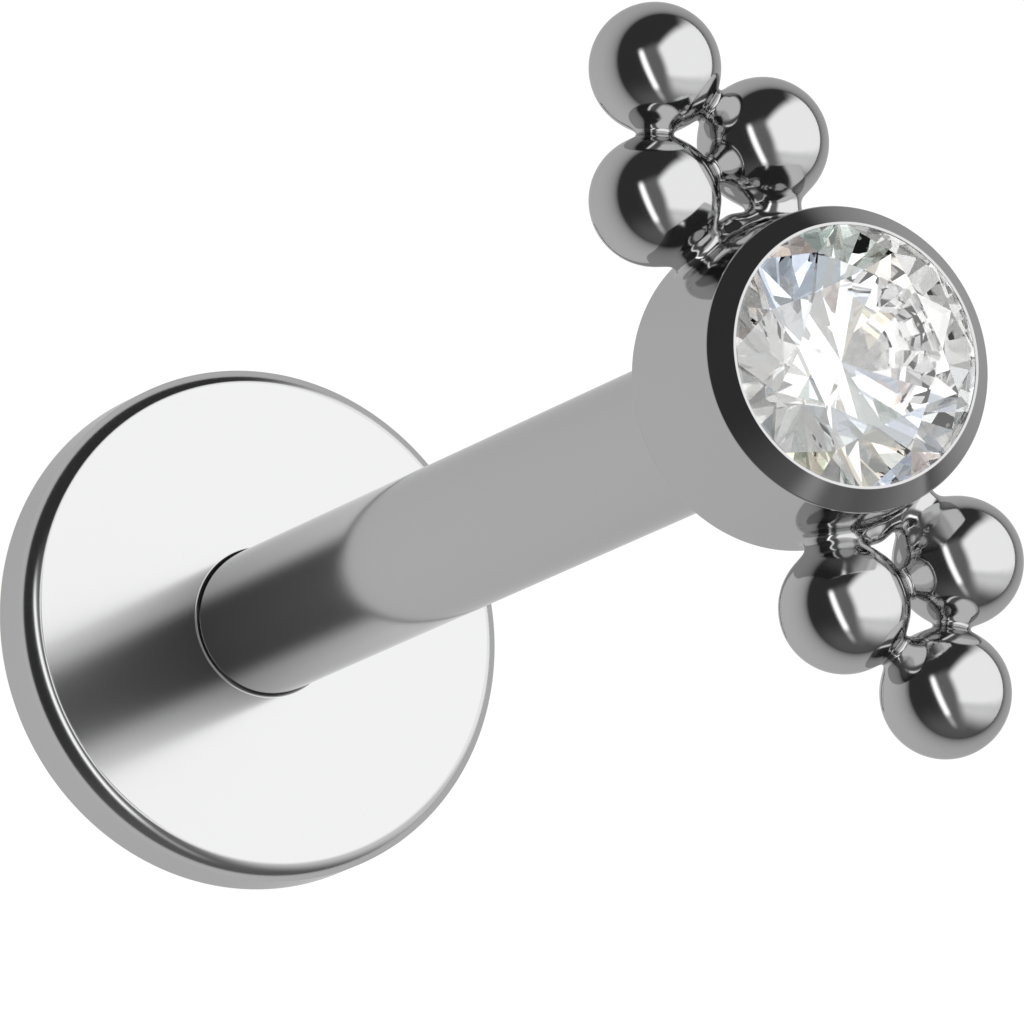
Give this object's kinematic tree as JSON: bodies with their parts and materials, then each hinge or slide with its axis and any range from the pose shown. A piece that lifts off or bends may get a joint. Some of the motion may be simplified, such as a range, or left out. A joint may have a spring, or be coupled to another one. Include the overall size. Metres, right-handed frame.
{
  "type": "labret stud",
  "caption": "Flat-backed labret stud: straight round post, disc back, and a push-fit head with a bezel-set round stone between two soldered bead clusters.",
  "frame": {"origin": "middle of the disc's flat back face, on which the stud stands", "axes": "+Z along the post from the disc to the stone, X along the line of the two bead clusters, Y across them"},
  "size_m": [0.0062, 0.0042, 0.0117],
  "materials": {
    "post_steel": "mirror-polished surgical steel",
    "setting_steel": "mirror-polished surgical steel, cast and soldered",
    "stone": "clear colourless crystal, polished facets"
  },
  "bodies": {
    "post": {"labret_post": "post_steel"},
    "head": {"setting": "setting_steel", "stone": "stone"}
  },
  "joints": [
    {"name": "head_pull", "type": "slide", "parent": "post", "child": "head", "axis": [0, 0, 1], "range_m": [0, 0.014]}
  ]
}
